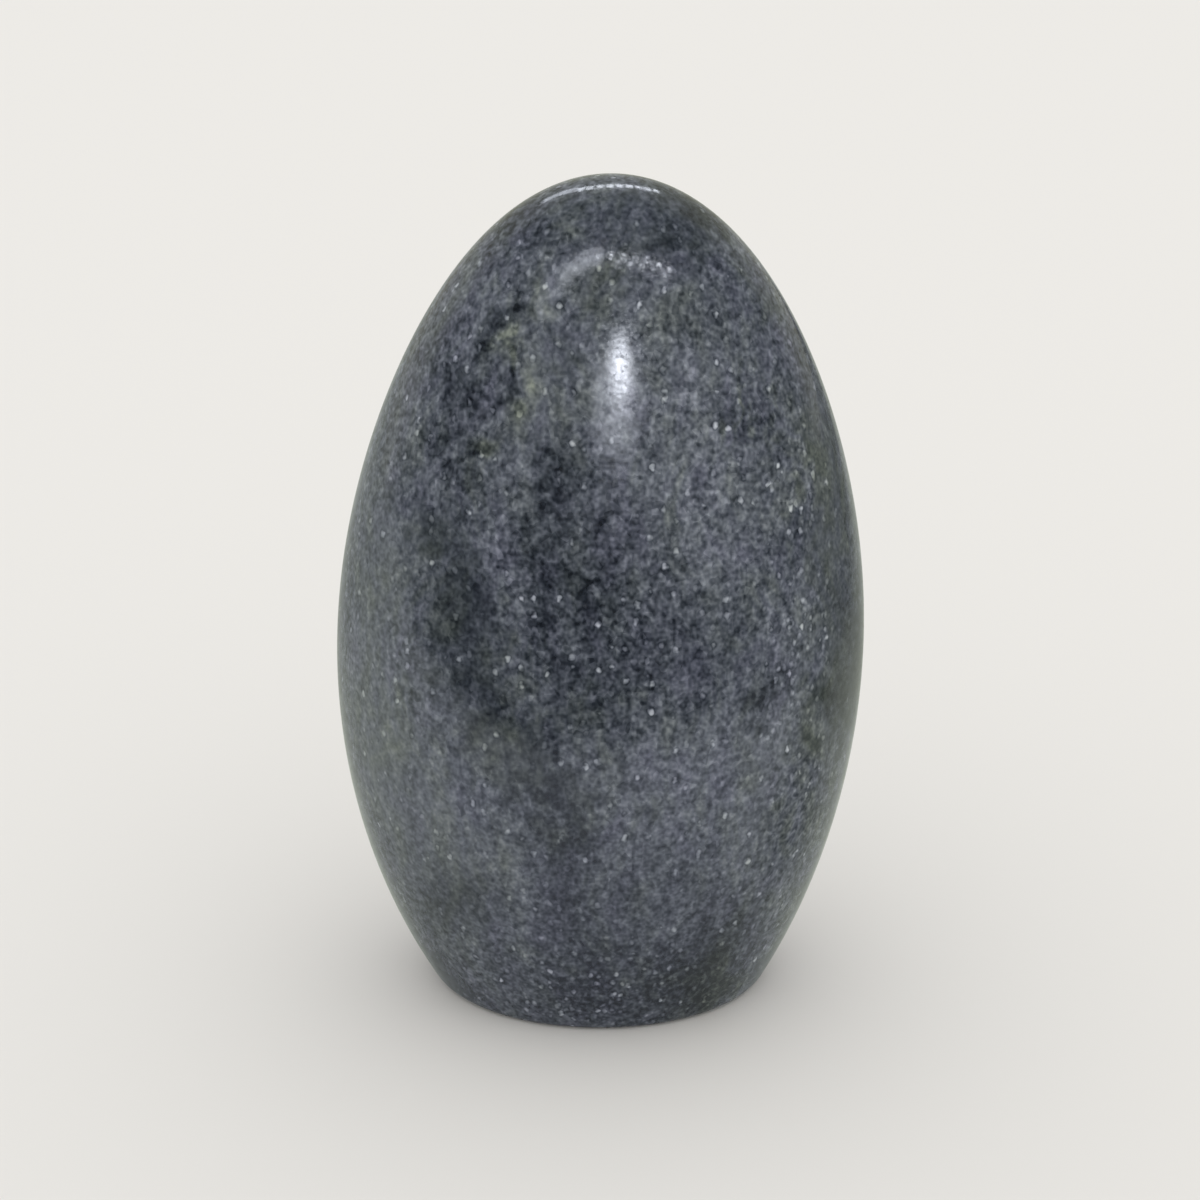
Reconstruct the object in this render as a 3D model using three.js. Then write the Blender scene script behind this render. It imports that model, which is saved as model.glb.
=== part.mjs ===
// Lazulite freeform: one solid stone, ground by hand into an upright, slightly leaning egg,
// polished all over, and sawn flat across its lower end so that it stands by itself.
// Millimetres, +Z up. +X is the stone's right-hand side, and -Y its front.
// The origin is on the standing surface, under the middle of the stone's box.
import * as THREE from 'three';

// Driving dimensions of the stone.
const HEIGHT = 125; // from the sawn base to the tip
const HALF_WIDTH = 39; // at the waist, where the stone is widest
const WAIST_HEIGHT = 52.8; // height of the waist above the base
const BELOW_WAIST = 77.4; // how far below the waist the curve would close, if it weren't sawn off
const BASE_DEPTH = 0.8; // depth over width at the base, which is the roundest section
const TIP_DEPTH = 0.6; // depth over width at the tip, the flattest
const EDGE_ROUND = 1.4; // radius of the base's edge, eased in polishing

// The outline's two quarters, above and below the waist, depart from an ellipse, whose power is 2:
// a larger power is blunter at its end. The flanks are also ground in by a share of their width.
// The two quarters curve alike where they meet, so the polish mirrors smoothly across the waist.
const UPPER_POWER = 2.02;
const LOWER_POWER = 1.42;
const GROUND_IN = 0.048;

// The line through the middle of the stone leans a little to the right, in a slight S. These are
// its control points' distances to the right, at equal steps from the base to the tip.
const MIDDLE_LINE = [0, -1.1, 1.2, 1.6];

// How finely the solid is faceted.
const SIDES = 64; // around
const UPPER_RINGS = 22; // from the waist to the tip
const LOWER_RINGS = 10; // from the eased edge to the waist
const EDGE_RINGS = 3; // on the eased edge

const ABOVE_WAIST = HEIGHT - WAIST_HEIGHT;

// The outline's half width at a height, as a share of the waist's: 1 at the waist, 0 at the tip.
function outlineShare(z) {
  if (z < WAIST_HEIGHT) {
    const down = (WAIST_HEIGHT - z) / BELOW_WAIST;
    return (1 - down ** 2) ** (1 / LOWER_POWER);
  }
  const up = Math.min((z - WAIST_HEIGHT) / ABOVE_WAIST, 1);
  const drawnIn = GROUND_IN * Math.sin((up * Math.PI) / 2) ** 2;
  return (1 - up ** 2) ** (1 / UPPER_POWER) * (1 - drawnIn);
}

// How far the eased edge draws the outline in, next to the base.
function easedIn(z) {
  const below = Math.max(EDGE_ROUND - z, 0);
  return EDGE_ROUND - Math.sqrt(EDGE_ROUND ** 2 - below ** 2);
}

function halfWidth(z) {
  return HALF_WIDTH * outlineShare(z) - easedIn(z);
}

// Depth over width: the sections flatten evenly from the base to the tip.
function depthShare(z) {
  return THREE.MathUtils.lerp(BASE_DEPTH, TIP_DEPTH, z / HEIGHT);
}

// The middle of the section at a height, to the right of the middle of the base.
const middleLine = new THREE.CubicBezierCurve(
  ...MIDDLE_LINE.map((right, i) => new THREE.Vector2(right, (i * HEIGHT) / 3)),
);

function middle(z) {
  return middleLine.getPoint(z / HEIGHT).x;
}

// The heights of the rings, closest together where the outline curves most.
function ringHeights() {
  const heights = [];
  for (let i = 0; i < EDGE_RINGS; i += 1) {
    heights.push(EDGE_ROUND * (1 - Math.cos((i / EDGE_RINGS) * (Math.PI / 2))));
  }
  const lowest = Math.asin((WAIST_HEIGHT - EDGE_ROUND) / BELOW_WAIST);
  for (let i = 0; i < LOWER_RINGS; i += 1) {
    heights.push(WAIST_HEIGHT - BELOW_WAIST * Math.sin(lowest * (1 - i / LOWER_RINGS)));
  }
  for (let i = 0; i < UPPER_RINGS; i += 1) {
    heights.push(WAIST_HEIGHT + ABOVE_WAIST * Math.sin((i / UPPER_RINGS) * (Math.PI / 2)));
  }
  return heights;
}

// The middle of the stone's box, which is not quite above the middle of the base.
function boxMiddle(heights) {
  const left = Math.min(...heights.map((z) => middle(z) - halfWidth(z)));
  const right = Math.max(...heights.map((z) => middle(z) + halfWidth(z)));
  return (left + right) / 2;
}

// A round turning of the outline, whose rings are then flattened front to back and moved
// sideways onto the middle line.
function stoneGeometry() {
  const heights = ringHeights();
  const profile = heights.map((z) => new THREE.Vector2(halfWidth(z), z));
  profile.unshift(new THREE.Vector2(0, 0));
  profile.push(new THREE.Vector2(0, HEIGHT));

  const geometry = new THREE.LatheGeometry(profile, SIDES);
  geometry.rotateX(Math.PI / 2);

  const centre = boxMiddle(heights);
  const point = geometry.attributes.position;
  for (let i = 0; i < point.count; i += 1) {
    const z = point.getZ(i);
    point.setX(i, point.getX(i) + middle(z) - centre);
    point.setY(i, point.getY(i) * depthShare(z));
  }
  geometry.computeVertexNormals();
  return geometry;
}

// Polished lazulite quartzite: dark slate blue, with a soft mirror gloss.
const polishedStone = new THREE.MeshStandardMaterial({
  color: 0x555961,
  roughness: 0.2,
  metalness: 0,
});

const stone = new THREE.Mesh(stoneGeometry(), polishedStone);
stone.name = 'stone';

const freeform = new THREE.Group();
freeform.add(stone);

export default freeform;
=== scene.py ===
"""A lazulite freeform: one upright stone, ground and polished by hand, standing on its sawn base.

Metres, +Z up, -Y is the stone's front. Patterns inside the stone are worked out in millimetres.
"""
import math

import bpy
import numpy as np
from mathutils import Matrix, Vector


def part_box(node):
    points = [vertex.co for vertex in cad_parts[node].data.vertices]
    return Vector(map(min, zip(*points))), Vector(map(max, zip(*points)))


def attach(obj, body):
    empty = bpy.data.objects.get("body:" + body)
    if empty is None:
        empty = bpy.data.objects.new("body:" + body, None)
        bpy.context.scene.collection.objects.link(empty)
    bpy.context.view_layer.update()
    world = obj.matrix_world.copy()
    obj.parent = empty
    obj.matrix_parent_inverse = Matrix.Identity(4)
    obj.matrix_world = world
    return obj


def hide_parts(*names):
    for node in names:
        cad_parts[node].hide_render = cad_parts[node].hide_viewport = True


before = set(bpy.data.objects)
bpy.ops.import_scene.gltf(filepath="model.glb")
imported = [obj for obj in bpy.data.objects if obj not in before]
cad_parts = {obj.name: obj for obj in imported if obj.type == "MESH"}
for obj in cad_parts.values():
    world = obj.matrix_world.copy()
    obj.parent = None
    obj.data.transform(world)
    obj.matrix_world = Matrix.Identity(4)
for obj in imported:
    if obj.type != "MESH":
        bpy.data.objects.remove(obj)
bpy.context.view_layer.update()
low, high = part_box("stone")
height = high.z - low.z

# Camera. A long lens looks down on the stone a little, as a person sitting at its table would.
elevation = math.radians(22)
distance = 0.42
eye = Vector((0, -distance * math.cos(elevation), height / 2 + distance * math.sin(elevation)))
aim_share = 0.489  # of the stone's height
look_at = Vector((0, 0, aim_share * height))

camera = bpy.data.objects.new("camera", bpy.data.cameras.new("camera"))
camera.data.sensor_width = 36
camera.data.lens = 85.5
camera.data.clip_start = 0.01
camera.location = eye
camera.rotation_euler = (look_at - eye).to_track_quat("-Z", "Y").to_euler()
bpy.context.scene.collection.objects.link(camera)
bpy.context.scene.camera = camera
bpy.context.scene.view_settings.view_transform = "Standard"

# The stone's form. One piece of quartzite, ground on wheels into a leaning egg that is wider than
# it is deep, polished until it mirrors, and sawn flat below, with the sawn edge eased.
half_width = (high.x - low.x) / 2
waist = 0.4224 * height  # where it is widest
below_waist = 0.6192 * height  # where the lower curve would close, if it weren't sawn off
above_waist = height - waist
upper_power, lower_power = 2.02, 1.42  # 2 is an ellipse, and a larger power is blunter
ground_in = 0.048  # share by which the flanks are drawn in towards the tip
base_depth, tip_depth = 0.8, 0.6  # depth over width
middle_line = (0, -0.0011, 0.0012, 0.0016)  # its control points' distances to the right
edge_round = 0.0014
columns, upper_rings, lower_rings, edge_rings = 280, 170, 110, 8


def half_width_at(z):
    """Half the stone's width at each height."""
    down = np.clip(waist - z, 0, None) / below_waist
    up = np.clip((z - waist) / above_waist, 0, 1)
    share = (1 - down**2) ** (1 / lower_power) * (1 - up**2) ** (1 / upper_power)
    drawn_in = ground_in * np.sin(up * math.pi / 2) ** 2
    below = np.clip(edge_round - z, 0, None)
    return half_width * share * (1 - drawn_in) - edge_round + np.sqrt(edge_round**2 - below**2)


def middle_at(z):
    """How far the middle of the stone is to the right of the middle of its base, at each height."""
    t = z / height
    a, b, c, d = middle_line
    return a * (1 - t)**3 + 3 * b * (1 - t)**2 * t + 3 * c * (1 - t) * t**2 + d * t**3


turn = np.arange(columns) * 2 * math.pi / columns
ease = np.arange(edge_rings) / edge_rings * math.pi / 2
rise = np.linspace(math.asin((waist - edge_round) / below_waist), 0, lower_rings + 1)[:-1]
climb = np.arange(upper_rings) / upper_rings * math.pi / 2
ring_heights = np.concatenate([
    edge_round * (1 - np.cos(ease)),
    waist - below_waist * np.sin(rise),
    waist + above_waist * np.sin(climb),
])
ring_widths = half_width_at(ring_heights)
base_inset = 0.97  # a ring on the sawn face, just inside its edge, that keeps it looking flat
ring_heights = np.concatenate([[0], ring_heights])
ring_widths = np.concatenate([[base_inset * ring_widths[0]], ring_widths])
depth = base_depth + (tip_depth - base_depth) * ring_heights / height
middle = middle_at(ring_heights)
box_middle = ((middle - ring_widths).min() + (middle + ring_widths).max()) / 2
points = np.stack([
    ring_widths[:, None] * np.cos(turn) + (middle - box_middle)[:, None],
    (ring_widths * depth)[:, None] * np.sin(turn),
    np.broadcast_to(ring_heights[:, None], (len(ring_heights), columns)),
], axis=-1)
tip = [middle_at(height) - box_middle, 0, height]

rings = len(ring_heights)
faces = [list(reversed(range(columns)))]
for r in range(rings - 1):
    for c in range(columns):
        d = (c + 1) % columns
        faces.append([r * columns + c, r * columns + d, (r + 1) * columns + d, (r + 1) * columns + c])
top = (rings - 1) * columns
faces += [[top + c, top + (c + 1) % columns, rings * columns] for c in range(columns)]

shape = bpy.data.meshes.new("polished_stone")
shape.from_pydata([*points.reshape(-1, 3), tip], [], faces)
shape.polygons.foreach_set("use_smooth", [True] * len(shape.polygons))
stone = bpy.data.objects.new("polished_stone", shape)
bpy.context.scene.collection.objects.link(stone)
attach(stone, "root")
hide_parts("stone")


# The stone's material. Lazulite quartzite, which is quartz grains half a millimetre to a millimetre
# across in slate-blue lazulite, ground and polished with felt and oxide. The eye sees a dark,
# mottled blue-grey in steep clouds, with small glints, under a clear and slightly pebbled gloss.
def linear(colour):
    """An sRGB hex colour as linear red, green, blue and alpha."""
    shares = [int(colour[i:i + 2], 16) / 255 for i in (1, 3, 5)]
    return [s / 12.92 if s <= 0.04045 else ((s + 0.055) / 1.055) ** 2.4 for s in shares] + [1]


def add(tree, kind, inputs=None, **settings):
    """Adds one node with its settings, and links or sets its inputs."""
    node = tree.nodes.new(kind)
    for name, value in settings.items():
        setattr(node, name, value)
    for name, value in (inputs or {}).items():
        if isinstance(value, bpy.types.NodeSocket):
            tree.links.new(value, node.inputs[name])
        else:
            node.inputs[name].default_value = value
    return node


quartzite = bpy.data.materials.new("polished_lazulite_quartzite")
quartzite.use_nodes = True
rock = quartzite.node_tree
rock.nodes.clear()
place = add(rock, "ShaderNodeTexCoord").outputs["Object"]
in_mm = add(rock, "ShaderNodeVectorMath", {0: place, "Scale": 1000}, operation="SCALE").outputs[0]

# The rock flowed while it was hot: its clouds are carried along by a slow sway and a quick shiver.
sway_size, sway_reach = 16, 5
sway = add(rock, "ShaderNodeTexNoise", {"Vector": in_mm, "Scale": 1 / sway_size, "Detail": 0},
           normalize=False).outputs["Color"]
swayed = add(rock, "ShaderNodeVectorMath", {0: sway, 1: [sway_reach] * 3, 2: in_mm},
             operation="MULTIPLY_ADD").outputs[0]
shiver_size, shiver_reach = 3, 4
shiver = add(rock, "ShaderNodeTexNoise", {"Vector": in_mm, "Scale": 1 / shiver_size, "Detail": 1},
             normalize=False).outputs["Color"]
flowed = add(rock, "ShaderNodeVectorMath", {0: shiver, 1: [shiver_reach] * 3, 2: swayed},
             operation="MULTIPLY_ADD").outputs[0]

# The tone is how light the rock is, from 0 to 1 as the eye counts it, with some painted shade, sheen
# and glints in it, and the green is how much fine green-grey mica is in it. They start from these
# values, and each patch adds its share.
tone, green = 0.33, 0.0


def patches(carried, places, tone, green):
    """Adds soft-edged ovals to the tone and green: darker, lighter or greener rock, or painted shade or
    sheen.
    """
    for middle, radii, lean, lighter, greener in places:
        oval = add(rock, "ShaderNodeMapping", {
            "Vector": carried,
            "Location": middle,
            "Rotation": (0, math.radians(lean), 0),
            "Scale": radii,
        }, vector_type="TEXTURE").outputs[0]
        patch = add(rock, "ShaderNodeTexGradient", {0: oval}, gradient_type="SPHERICAL").outputs["Fac"]
        tone = add(rock, "ShaderNodeMath", {0: patch, 1: lighter, 2: tone},
                   operation="MULTIPLY_ADD").outputs[0]
        green = add(rock, "ShaderNodeMath", {0: patch, 1: greener, 2: green},
                    operation="MULTIPLY_ADD").outputs[0]
    return tone, green


# Each patch: its middle and its radii in mm, its lean to the right in degrees, its tone and green.
clouds_and_painted_light = [
    # The dark arc that runs from the knot near the tip down the left and to the foot.
    ((-17.5, -15, 93), (5, 12, 14), 0, -0.08, 0.0),
    ((-18, -18, 85), (5, 10, 9), -8, -0.09, 0.0),
    ((-26, -15, 79), (5, 10, 6), -40, -0.07, 0.35),
    ((-20.5, -21, 69.5), (6, 13, 19), -20, -0.15, 0.35),
    ((-18.5, -24, 57.5), (5, 10, 9), -20, -0.08, 0.2),
    ((-12, -27, 48.5), (7, 12, 13), -50, -0.08, 0.35),
    ((-7, -28, 36), (7, 12, 18), -8, -0.13, 0.0),
    ((-5, -26, 20), (7, 12, 14), 0, -0.04, 0.0),
    # The dark middle.
    ((-7, -21.5, 87.7), (4.6, 12, 8.7), -8, -0.17, 0.0),
    ((-11, -24, 74), (5, 12, 12), 0, -0.11, -0.1),
    ((-1, -22, 85.5), (4, 8, 6), 0, -0.09, 0.0),
    ((-5.5, -25, 69), (3, 8, 6), 0, 0.08, 0.0),
    ((1, -25, 78), (6, 10, 7), 0, -0.09, -0.1),
    ((1, -26, 70), (15, 18, 20), 0, -0.11, -0.15),
    ((10, -26, 65), (8, 14, 7), 0, -0.04, -0.1),
    ((7, -28, 56), (6, 10, 6), 0, 0.05, -0.1),
    ((-6, -27, 55), (15, 12, 6), 0, -0.06, 0.1),
    ((12, -26, 58), (6, 10, 6), 0, -0.06, 0.0),
    ((-9, -26, 64), (6, 10, 6), 0, -0.05, 0.0),
    # Light streaks between them and right of the middle; on both flanks, partly painted sheen.
    ((-8, -17, 99), (5, 12, 20), 8, 0.06, 0.2),
    ((-6, -13, 110), (3, 6, 8), 8, 0.12, 0.0),
    ((-1, -17, 101), (4, 8, 6), 0, 0.06, 0.0),
    ((9.5, -17, 100.5), (3.5, 8, 6), 0, 0.06, 0.0),
    ((-22.5, -15, 90.5), (4.5, 10, 7), 0, 0.09, 0.0),
    ((-13.7, -20, 86), (3, 6, 6), 0, 0.05, 0.0),
    ((-13, -24, 73), (4, 12, 12), -8, 0.04, -0.2),
    ((14, -20, 86), (20, 20, 36), 4, 0.07, -0.1),
    ((17, -20, 87), (6, 8, 8), 0, 0.02, 0.0),
    ((9, -27, 41), (20, 16, 20), 0, 0.03, -0.1),
    ((-31, -14, 66), (10, 20, 46), 0, 0.03, 0.25),
    ((-18, -9, 107), (5, 8, 6), 0, 0.06, 0.15),
    ((-27, -20, 38), (12, 16, 24), -18, 0.04, 0.35),
    ((28, -18, 60), (5, 12, 16), 0, 0.04, 0.1),
    ((22, -23, 41), (6, 12, 15), 10, 0.03, 0.2),
    ((29.5, -17.5, 43), (5, 10, 12), 0, 0.06, 0.1),
    ((30, -16, 31), (5, 8, 6), 0, 0.05, 0.0),
    # Dark spots and edges; on the right edge and round the foot, partly painted shade.
    ((-4, -17, 103), (5, 8, 6), 0, -0.06, 0.2),
    ((0, -13, 112), (9, 9, 5), 0, -0.03, 0.3),
    ((7, -10, 116), (9, 9, 6), 0, -0.07, 0.2),
    ((11, -4, 120), (7, 7, 5), 0, -0.12, 0.2),
    ((14, -14, 107), (5, 8, 5), 0, -0.06, 0.0),
    ((20, -8, 111), (6, 10, 9), 0, -0.06, 0.15),
    ((16.5, -23, 67), (6, 10, 7), 0, -0.07, 0.0),
    ((20, -15, 96), (6, 8, 8), 0, -0.06, 0.0),
    ((24, -17, 84), (5, 10, 26), 0, -0.05, 0.0),
    ((23, -22, 55), (5, 8, 6), 0, -0.13, 0.0),
    ((33, -9, 84), (7, 16, 24), 0, -0.06, 0.7),
    ((35, -14, 53), (8, 12, 21), 0, -0.11, 0.7),
    ((39, -5, 55), (5, 12, 26), 0, -0.13, 0.3),
    ((34, -12, 48), (4, 10, 11), 0, -0.10, 0.3),
    ((-34, -14, 47), (4, 8, 13), 0, -0.05, 0.0),
    ((35, -5, 26), (5, 8, 8), 0, -0.13, 0.0),
    ((-37, -7, 42), (5, 10, 14), 0, -0.06, 0.0),
    ((-20, -20, 21.5), (9, 12, 10), 0, -0.11, 0.2),
    ((-10, -26, 40), (5, 10, 10), 0, -0.05, 0.0),
    ((-1, -28, 47), (5, 10, 7), 0, -0.06, 0.0),
    ((-1, -26, 18), (12, 12, 7), 0, -0.09, 0.0),
    ((6, -26, 26), (11, 12, 14), 0, -0.08, 0.0),
    ((5, -27, 42), (6, 8, 6), 0, -0.05, 0.0),
    ((3, -22, 6), (24, 16, 12), 0, -0.15, -0.15),
    ((18, -19, 13), (14, 12, 14), 0, -0.13, 0.0),
    ((-22, -12, 5), (9, 10, 9), 0, -0.11, 0.0),
    ((5, -24, 15), (10, 10, 6), 0, -0.13, 0.0),
    ((19, -17, 8), (9, 10, 9), 0, -0.04, 0.2),
    ((4, -7, 121), (16, 9, 7), 0, -0.09, 0.3),
    ((-18, -3, 113), (5, 8, 5), 0, -0.07, 0.0),
    ((-11, -6, 118), (6, 8, 6), 0, -0.10, 0.0),
    ((-9, -1, 122), (6, 6, 5), 0, -0.07, 0.0),
]
tone, green = patches(flowed, clouds_and_painted_light, tone, green)

# Steep streaks run through the whole stone, and wide smears through its sides and its back.
streak_size, streak_strength = 9.6, 0.03
streaks = add(rock, "ShaderNodeVectorMath", {0: swayed, 1: (1, 1, 0.4)}, operation="MULTIPLY").outputs[0]
streaky = add(rock, "ShaderNodeTexNoise", {"Vector": streaks, "Scale": 1 / streak_size, "Detail": 2,
                                           "Roughness": 0.9}, normalize=False).outputs["Fac"]
tone = add(rock, "ShaderNodeMath", {0: streaky, 1: streak_strength, 2: tone},
           operation="MULTIPLY_ADD").outputs[0]
smear_size, smear_strength, smear_green = 17, 0.2, 0.5
fade_from, fade_to = -7, 5
behind = add(rock, "ShaderNodeSeparateXYZ", {0: in_mm}).outputs["Y"]
behind = add(rock, "ShaderNodeMapRange", {"Value": behind, "From Min": fade_from,
                                          "From Max": fade_to}).outputs[0]
smears = add(rock, "ShaderNodeVectorMath", {0: flowed, 1: (1, 1, 0.5)}, operation="MULTIPLY").outputs[0]
smears = add(rock, "ShaderNodeTexNoise", {"Vector": smears, "Scale": 1 / smear_size, "Detail": 1},
             normalize=False).outputs["Color"]
smears = add(rock, "ShaderNodeVectorMath", {0: smears, "Scale": behind}, operation="SCALE").outputs[0]
smears = add(rock, "ShaderNodeSeparateXYZ", {0: smears})
tone = add(rock, "ShaderNodeMath", {0: smears.outputs["X"], 1: smear_strength, 2: tone},
           operation="MULTIPLY_ADD").outputs[0]
green = add(rock, "ShaderNodeMath", {0: smears.outputs["Y"], 1: smear_green, 2: green},
            operation="MULTIPLY_ADD").outputs[0]

# Mica evens the grains out, so what follows is a stain, which leaves them as bold as they were.
grain_low, grain_high = 0.5, 1.15
boldness = add(rock, "ShaderNodeMapRange", {"Value": green, "From Min": -0.15, "From Max": 0.4,
                                            "To Min": grain_high, "To Max": grain_low}).outputs[0]
stains = [
    ((-8, -17, 99), (5, 12, 20), 8, 0.0, 0.15),
    ((-6, -13, 110), (3, 6, 8), 8, 0.0, 0.1),
    ((0, -13, 112), (9, 9, 5), 0, 0.0, 0.45),
    ((20, -15, 95), (1.6, 8, 9), 0, 0.0, 0.8),
    ((25, -13, 96), (2, 8, 12), 0, 0.0, 0.6),
    ((29, -13, 86), (3, 10, 12), 0, 0.0, 0.6),
    ((5, -25, 73), (22, 18, 20), 0, 0.0, 0.2),
    ((-13, -25, 46), (14, 12, 14), 0, 0.0, 0.35),
    ((30, -17, 38), (5, 10, 12), 0, 0.0, 0.6),
    ((17, -17, 5), (10, 10, 9), 0, 0.0, 1.3),
]
tone, green = patches(flowed, stains, tone, green)

# The knot near the tip, with a curl under it: a dark crescent, olive threads and dark specks. It
# is small and hard, and flowed less than the rest.
knot = [
    ((-16.2, -12, 104.4), (1.5, 6, 2.8), 20, -0.26, 0.0),
    ((-14.2, -12, 107.5), (1.2, 6, 2.4), 55, -0.2, 0.0),
    ((-11.4, -12, 109.1), (1.1, 6, 2.2), 70, -0.2, 0.0),
    ((-11, -11, 110.4), (1, 5, 2), 10, -0.14, 0.0),
    ((-9.2, -13, 108.7), (1.6, 5, 1), 0, -0.16, 0.0),
    ((-12.3, -13, 106.6), (3, 6, 1.1), -25, 0.13, 1.0),
    ((-12.6, -14, 104.4), (1.6, 6, 3.6), 25, 0.04, 1.0),
    ((-14.7, -13, 104.5), (1.3, 6, 2), 0, -0.08, 0.8),
    ((-11.9, -15, 102.5), (1, 6, 2.2), 0, 0.02, 1.0),
    ((-9.1, -17, 99.8), (1.7, 5, 3.4), 0, 0.12, 0.8),
    ((-11, -18, 96.5), (1.8, 5, 2), 0, 0.05, 0.8),
    ((-12.3, -16, 100.3), (1, 5, 3.4), 0, -0.16, 0.0),
    ((-13.6, -17, 97), (1, 5, 2.4), 45, -0.14, 0.0),
    ((-17.5, -15, 97.3), (1.7, 4, 1.6), 0, -0.22, 0.0),
    ((-20.6, -12, 99.3), (0.9, 5, 3), 12, -0.16, 0.0),
    ((-16.5, -18, 91.3), (3, 6, 1.6), 0, 0.0, 1.0),
]
wobble_reach = 1.0
wobbled = add(rock, "ShaderNodeVectorMath", {0: shiver, 1: [wobble_reach] * 3, 2: in_mm},
              operation="MULTIPLY_ADD").outputs[0]
tone, green = patches(wobbled, knot, tone, green)

# Grains: single crystals, and the mottling that runs through them.
grain_size, grain_strength = 1.05, 0.13
grains = add(rock, "ShaderNodeVectorMath", {0: in_mm, 1: (1, 1, 0.9)}, operation="MULTIPLY").outputs[0]
grainy = add(rock, "ShaderNodeTexNoise", {"Vector": grains, "Scale": 1 / grain_size, "Detail": 1,
                                          "Roughness": 0.9}, normalize=False).outputs["Fac"]
crystal_size, crystal_strength = 0.9, 0.115
crystals = add(rock, "ShaderNodeTexVoronoi", {"Vector": grains, "Scale": 1 / crystal_size})
crystal = add(rock, "ShaderNodeMath", {0: crystals.outputs["Color"], 1: 0.5},
              operation="SUBTRACT").outputs[0]
crystal = add(rock, "ShaderNodeMath", {0: crystal, 1: crystal_strength}, operation="MULTIPLY").outputs[0]
grain = add(rock, "ShaderNodeMath", {0: grainy, 1: grain_strength, 2: crystal},
            operation="MULTIPLY_ADD").outputs[0]

# Glints: clear quartz that shows white where a grain lies against the polish, in a dark rim, drawn into
# the colour: partly the quartz's own light colour, partly painted glints. They are frayed, and stand a
# little taller than wide. Each draws its strength by chance, and a patch of coarser quartz, given by its
# middle and its radii in mm, adds to what its glints draw.
glints = [
    {"spacing": 1.8, "spread": 1, "strength": 0.39, "none_below": 0.42, "full_from": 1.0, "coarser": [
        ((29, -14, 66), (8, 14, 44), 0.4),
        ((2, -24, 9), (30, 16, 13), 0.25),
        ((0, -26, 68), (14, 12, 26), 0.12),
        ((-8, -10, 113), (9, 9, 8), 0.1),
        ((20, -14, 96), (10, 12, 20), 0.25),
    ]},
    {"spacing": 1.2, "spread": 1.5, "strength": 0.34, "none_below": 0.75, "full_from": 1.6, "coarser": [
        ((3, -22, 7), (30, 16, 18), 1.0),
        ((29, -16, 70), (9, 20, 46), 1.0),
        ((-11, -10, 112), (8, 9, 8), 0.4),
    ]},
]
rim_level = 0.16
levels = {0: 1, 0.12: 0.8, 0.27: 0, 0.38: rim_level}  # by distance, in shares of spacing and spread
fray_size, fray_reach = 0.6, 0.17
fray = add(rock, "ShaderNodeTexNoise", {"Vector": in_mm, "Scale": 1 / fray_size, "Detail": 0},
           normalize=False).outputs["Fac"]
taller = add(rock, "ShaderNodeVectorMath", {0: in_mm, 1: (1, 1, 0.75)}, operation="MULTIPLY").outputs[0]
for kind in glints:
    cells = add(rock, "ShaderNodeTexVoronoi", {"Vector": taller, "Scale": 1 / kind["spacing"]})
    reach = add(rock, "ShaderNodeMath", {0: fray, 1: fray_reach, 2: cells.outputs["Distance"]},
                operation="MULTIPLY_ADD").outputs[0]
    glint = add(rock, "ShaderNodeValToRGB", {"Fac": reach})
    while len(glint.color_ramp.elements) < len(levels):
        glint.color_ramp.elements.new(0.9)
    for element, (position, level) in zip(glint.color_ramp.elements, levels.items()):
        element.position = position * kind["spread"]
        element.color = (level, level, level, 1)
    glint = add(rock, "ShaderNodeMath", {0: glint.outputs["Color"], 1: rim_level},
                operation="SUBTRACT").outputs[0]
    drawn = add(rock, "ShaderNodeSeparateXYZ", {0: cells.outputs["Color"]}).outputs["X"]
    for middle, radii, more in kind["coarser"]:
        oval = add(rock, "ShaderNodeMapping", {"Vector": in_mm, "Location": middle, "Scale": radii},
                   vector_type="TEXTURE").outputs[0]
        patch = add(rock, "ShaderNodeTexGradient", {0: oval}, gradient_type="SPHERICAL").outputs["Fac"]
        drawn = add(rock, "ShaderNodeMath", {0: patch, 1: more, 2: drawn},
                    operation="MULTIPLY_ADD").outputs[0]
    strength = add(rock, "ShaderNodeMapRange", {
        "Value": drawn,
        "From Min": kind["none_below"],
        "From Max": kind["full_from"],
        "To Max": kind["strength"],
    }).outputs[0]
    grain = add(rock, "ShaderNodeMath", {0: glint, 1: strength, 2: grain},
                operation="MULTIPLY_ADD").outputs[0]
tone = add(rock, "ShaderNodeMath", {0: grain, 1: boldness, 2: tone}, operation="MULTIPLY_ADD").outputs[0]

# Shade: the rock's own colour at each tone.
shade = add(rock, "ShaderNodeValToRGB", {"Fac": tone})
tones = {0: "#05080d", 0.14: "#20252c", 0.22: "#343940", 0.3: "#484d55", 0.38: "#5c6169",
         0.46: "#71767e", 0.58: "#90959d", 0.75: "#bbc0c7"}
while len(shade.color_ramp.elements) < len(tones):
    shade.color_ramp.elements.new(0.5)
for element, (position, colour) in zip(shade.color_ramp.elements, tones.items()):
    element.position = position
    element.color = linear(colour)

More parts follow.
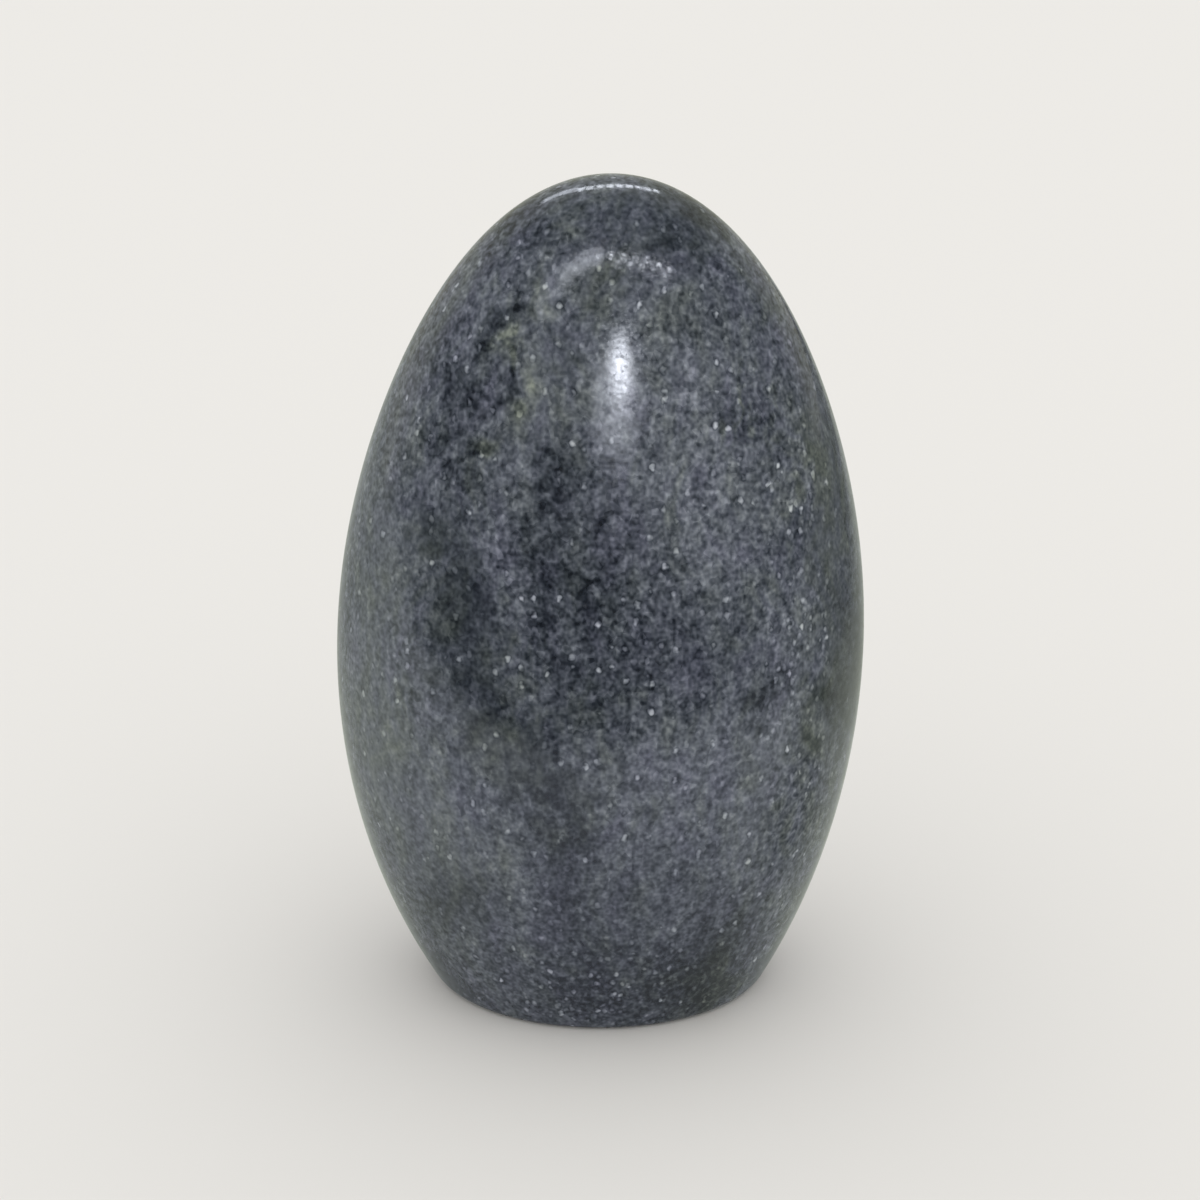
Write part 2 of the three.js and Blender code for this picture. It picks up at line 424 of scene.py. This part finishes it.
# Hue: lazulite leans to violet, and mica and stains lean to olive.
hue_size, hue_strength = 4.5, 0.6
hues = add(rock, "ShaderNodeTexNoise", {"Vector": streaks, "Scale": 1 / hue_size, "Detail": 2,
                                        "Roughness": 0.7}, normalize=False).outputs["Fac"]
hue = add(rock, "ShaderNodeMath", {0: hues, 1: hue_strength, 2: green},
          operation="MULTIPLY_ADD").outputs[0]
hue = add(rock, "ShaderNodeMapRange", {"Value": hue, "From Min": -0.5, "From Max": 1.05}).outputs[0]
tint = add(rock, "ShaderNodeValToRGB", {"Fac": hue})
tint.color_ramp.elements[0].color = linear("#f8f4fe")
tint.color_ramp.elements.new(0.36).color = linear("#ffffff")
tint.color_ramp.elements[-1].color = linear("#fdffe2")
rock_colour = add(rock, "ShaderNodeMix", {0: 1.0, 6: shade.outputs["Color"], 7: tint.outputs["Color"]},
                  data_type="RGBA", blend_type="MULTIPLY").outputs[2]

# Polish: felt wheels leave ripples a few thousandths of a millimetre deep, and some crystals take
# a poorer shine than the rest, so what the stone mirrors breaks into specks.
ripple_size, ripple_height = 0.7, 0.000006
ripples = add(rock, "ShaderNodeVectorMath", {0: in_mm, 1: (0.8, 0.8, 1.3)},
              operation="MULTIPLY").outputs[0]
rippled = add(rock, "ShaderNodeTexNoise", {"Vector": ripples, "Scale": 1 / ripple_size, "Detail": 0})
polish = add(rock, "ShaderNodeBump", {"Height": rippled.outputs["Fac"], "Distance": ripple_height})
fine_size = 0.4
fine_crystals = add(rock, "ShaderNodeTexVoronoi", {"Vector": in_mm, "Scale": 1 / fine_size})
best_shine, poorest_shine = 0.09, 0.25
quartz_ior = 1.55
shine = add(rock, "ShaderNodeMapRange", {"Value": fine_crystals.outputs["Color"], "From Min": 0.5,
                                         "To Min": best_shine, "To Max": poorest_shine}).outputs[0]
gloss = add(rock, "ShaderNodeBsdfPrincipled", {
    "Base Color": rock_colour,
    "Roughness": shine,
    "IOR": quartz_ior,
    "Normal": polish.outputs[0],
})
add(rock, "ShaderNodeOutputMaterial", {"Surface": gloss.outputs[0]})
stone.data.materials.append(quartzite)


# The studio. A wide pale paper floor under an even pale light. What the gloss mirrors is its own:
# a table that ends close in front, rows of small lamps overhead, one soft lamp, and dim walls.
def lay_mesh(name, corners, faces):
    """A part of the studio, made of flat faces."""
    mesh = bpy.data.meshes.new(name)
    mesh.from_pydata(corners, [], faces)
    laid = bpy.data.objects.new(name, mesh)
    bpy.context.scene.collection.objects.link(laid)
    return laid


def cover(thing, name):
    """A new, empty material on part of the studio, and its nodes."""
    material = bpy.data.materials.new(name)
    material.use_nodes = True
    material.node_tree.nodes.clear()
    thing.data.materials.append(material)
    return material.node_tree


table_reach = 3
table_corners = [(x * table_reach, y * table_reach, 0) for x, y in ((-1, -1), (1, -1), (1, 1), (-1, 1))]
floor = lay_mesh("floor", table_corners, [(0, 1, 2, 3)])
paper = cover(floor, "matt_paper")
paper_face = add(paper, "ShaderNodeBsdfDiffuse", {"Color": linear("#d9d7d3")})
add(paper, "ShaderNodeOutputMaterial", {"Surface": paper_face.outputs[0]})

# The mirrored table: cool in front and warm round the back, dark past its front edge, with a painted
# shadow of the stone in a strip, and painted shade that dims it far to the right and at the back.
cloth_lift = 0.0005
cloth_corners = [(x, y, z + cloth_lift) for x, y, z in table_corners]
mirrored_table = lay_mesh("mirrored_table", cloth_corners, [(0, 1, 2, 3)])
mirrored_table.visible_camera = mirrored_table.visible_diffuse = mirrored_table.visible_shadow = False
cloth = cover(mirrored_table, "mirrored_cloth")
spot = add(cloth, "ShaderNodeSeparateXYZ", {0: add(cloth, "ShaderNodeTexCoord").outputs["Object"]})
spot_x, spot_y = spot.outputs["X"], spot.outputs["Y"]
front_dark_at, front_lit_at = -0.175, -0.135
lit = add(cloth, "ShaderNodeMapRange", {"Value": spot_y, "From Min": front_dark_at,
                                        "From Max": front_lit_at},
          interpolation_type="SMOOTHSTEP").outputs[0]
# Painted shadow: the stone's shadow, as a darker strip on the right along this line.
strip_y, strip_core, strip_reach, strip_share = -0.018, 0.006, 0.034, 0.15
off_strip = add(cloth, "ShaderNodeMath", {0: spot_y, 1: strip_y}, operation="SUBTRACT").outputs[0]
off_strip = add(cloth, "ShaderNodeMath", {0: off_strip}, operation="ABSOLUTE").outputs[0]
strip_end = add(cloth, "ShaderNodeMapRange", {"Value": spot_x, "From Min": 0.035, "From Max": 0.07,
                                              "To Min": strip_reach, "To Max": 0}).outputs[0]
off_strip = add(cloth, "ShaderNodeMath", {0: off_strip, 1: strip_end}, operation="ADD").outputs[0]
out_of_shade = add(cloth, "ShaderNodeMapRange", {"Value": off_strip, "From Min": strip_core,
                                                 "From Max": strip_reach, "To Min": strip_share},
                   interpolation_type="SMOOTHSTEP").outputs[0]
# Painted shade: dimmer far to the right and at the back.
far_right = add(cloth, "ShaderNodeMath", {0: spot_y, 1: -0.3, 2: spot_x},
                operation="MULTIPLY_ADD").outputs[0]
near_right = add(cloth, "ShaderNodeMapRange", {"Value": far_right, "From Min": 0.12, "From Max": 0.22,
                                               "To Min": 1, "To Max": 0.3},
                 interpolation_type="SMOOTHSTEP").outputs[0]
near_back = add(cloth, "ShaderNodeMapRange", {"Value": spot_y, "From Min": 0.04, "From Max": 0.12,
                                              "To Min": 1, "To Max": 0.75},
                interpolation_type="SMOOTHSTEP").outputs[0]
for share in (out_of_shade, near_right, near_back):
    lit = add(cloth, "ShaderNodeMath", {0: lit, 1: share}, operation="MULTIPLY").outputs[0]
sideways = add(cloth, "ShaderNodeMath", {0: spot_x}, operation="ABSOLUTE").outputs[0]
round_back = add(cloth, "ShaderNodeMath", {0: sideways, 1: 0.6, 2: spot_y},
                 operation="MULTIPLY_ADD").outputs[0]
warmth = add(cloth, "ShaderNodeMapRange", {"Value": round_back, "From Min": -0.03,
                                           "From Max": 0.02}).outputs[0]
cloth_colour = add(cloth, "ShaderNodeMix", {0: warmth, 6: linear("#bbbec8"), 7: linear("#c0c5b9")},
                   data_type="RGBA").outputs[2]
cloth_colour = add(cloth, "ShaderNodeMix", {0: lit, 6: linear("#202020"), 7: cloth_colour},
                   data_type="RGBA").outputs[2]
cloth_face = add(cloth, "ShaderNodeBsdfDiffuse", {"Color": cloth_colour})
add(cloth, "ShaderNodeOutputMaterial", {"Surface": cloth_face.outputs[0]})


def seen_in_gloss(thing, radiance, fades=False):
    """Makes part of the studio glow, for the gloss alone. It may fade from its middle to its edge."""
    thing.visible_camera = thing.visible_diffuse = thing.visible_shadow = False
    glow = cover(thing, thing.name + "_glow")
    if fades:
        from_middle = add(glow, "ShaderNodeTexCoord").outputs["Object"]
        fading = add(glow, "ShaderNodeTexGradient", {"Vector": from_middle}, gradient_type="SPHERICAL")
        radiance = add(glow, "ShaderNodeMath", {0: fading.outputs["Fac"], 1: radiance},
                       operation="MULTIPLY").outputs[0]
    shine = add(glow, "ShaderNodeEmission", {"Color": linear("#f0f5ff"), "Strength": radiance})
    add(glow, "ShaderNodeOutputMaterial", {"Surface": shine.outputs[0]})


def soft_lamp(name, where, half_wide, half_tall, radiance):
    """An upright oval light."""
    lamp = lay_mesh(name, [(-1, 0, -1), (1, 0, -1), (1, 0, 1), (-1, 0, 1)], [(0, 1, 2, 3)])
    lamp.location = where
    lamp.scale = (half_wide, 1, half_tall)
    seen_in_gloss(lamp, radiance, fades=True)


soft_lamp("soft_lamp", (0.043, -0.50, 0.312), half_wide=0.053, half_tall=0.07, radiance=31)
soft_lamp("soft_lamp_shade", (0.034, -0.51, 0.280), half_wide=0.095, half_tall=0.10, radiance=8.5)

ceiling = 0.5


def lamp_row(name, places, wide, deep, radiance):
    """Small oblong lamps on the ceiling, at these places."""
    corners = []
    for x, y in places:
        for across, along in ((-1, -1), (1, -1), (1, 1), (-1, 1)):
            corners.append((x + across * wide / 2, y + along * deep / 2, ceiling))
    row = lay_mesh(name, corners, [tuple(range(4 * i, 4 * i + 4)) for i in range(len(places))])
    seen_in_gloss(row, radiance)


def lamp_ribbon(name, path, deep, radiance):
    """A bent ribbon of light on the ceiling."""
    corners = [(x, y + side * deep / 2, ceiling) for side in (-1, 1) for x, y in path]
    count = len(path)
    row = lay_mesh(name, corners, [(i, i + 1, count + i + 1, count + i) for i in range(count - 1)])
    seen_in_gloss(row, radiance)


lamp_pitch, lamp_deep = 0.0545, 0.018
front_places = [(-0.051 + i * lamp_pitch, -0.352) for i in range(7)]
lamp_row("front_lamps", front_places, wide=0.018, deep=lamp_deep, radiance=30)
lamp_row("front_lamps_left", [(-0.106, -0.362), (-0.157, -0.384)], wide=0.018, deep=lamp_deep,
         radiance=15)
below_places = [(0.036 + i * lamp_pitch, -0.386) for i in range(5)]
lamp_row("front_lamps_below", below_places, wide=0.016, deep=lamp_deep, radiance=20)
ribbon_deep = 0.09
bend = np.linspace(0, 1, 9)
front_path = [(-0.03 - 0.2 * t, -0.35 - 0.08 * t**2) for t in bend]
lamp_ribbon("front_ribbon", front_path, ribbon_deep, radiance=4)
rear_pitch = 0.036
rear_xs = [-0.11 + i * rear_pitch for i in range(9)]
rear_places = [(x, 0.178 + 2 * (x + 0.04)**2) for x in rear_xs]
lamp_row("rear_lamps", rear_places, wide=0.024, deep=0.07, radiance=10.5)
rear_path = [(-0.28 + 0.16 * t, 0.289 - 0.08 * t**2) for t in bend]
lamp_ribbon("rear_ribbon", rear_path, ribbon_deep, radiance=5)

# The room. The gloss mirrors walls that are dark in front and on the right, and pale at the left
# and behind. The rest of the light is even, and what the camera sees past the floor is pale paper.
world = bpy.data.worlds.new("room")
bpy.context.scene.world = world
world.use_nodes = True
room = world.node_tree
room.nodes.clear()
way = add(room, "ShaderNodeSeparateXYZ", {0: add(room, "ShaderNodeTexCoord").outputs["Generated"]})
way_x, way_y = way.outputs["X"], way.outputs["Y"]
dark_wall, pale_wall = 0.03, 0.5
turned_back = add(room, "ShaderNodeMapRange", {"Value": way_y, "From Min": -0.1, "From Max": 0.35},
                  interpolation_type="SMOOTHSTEP").outputs[0]
turned_right = add(room, "ShaderNodeMath", {0: way_y, 1: -0.9, 2: way_x},
                   operation="MULTIPLY_ADD").outputs[0]
off_right = add(room, "ShaderNodeMapRange", {"Value": turned_right, "From Min": 0.45, "From Max": 0.95,
                                             "To Min": pale_wall, "To Max": 0},
                interpolation_type="SMOOTHSTEP").outputs[0]
walls = add(room, "ShaderNodeMath", {0: turned_back, 1: off_right, 2: dark_wall},
            operation="MULTIPLY_ADD").outputs[0]
mirrored = add(room, "ShaderNodeBackground", {"Color": linear("#feffe8"), "Strength": walls})
even_strength = 1.22
even_light = add(room, "ShaderNodeBackground", {"Color": linear("#ffffff"), "Strength": even_strength})
backdrop = add(room, "ShaderNodeBackground", {"Color": linear("#ebeae5"), "Strength": 1})
ray = add(room, "ShaderNodeLightPath")
either = add(room, "ShaderNodeMixShader", {0: ray.outputs["Is Glossy Ray"], 1: even_light.outputs[0],
                                           2: mirrored.outputs[0]})
either = add(room, "ShaderNodeMixShader", {0: ray.outputs["Is Camera Ray"], 1: either.outputs[0],
                                           2: backdrop.outputs[0]})
add(room, "ShaderNodeOutputWorld", {"Surface": either.outputs[0]})
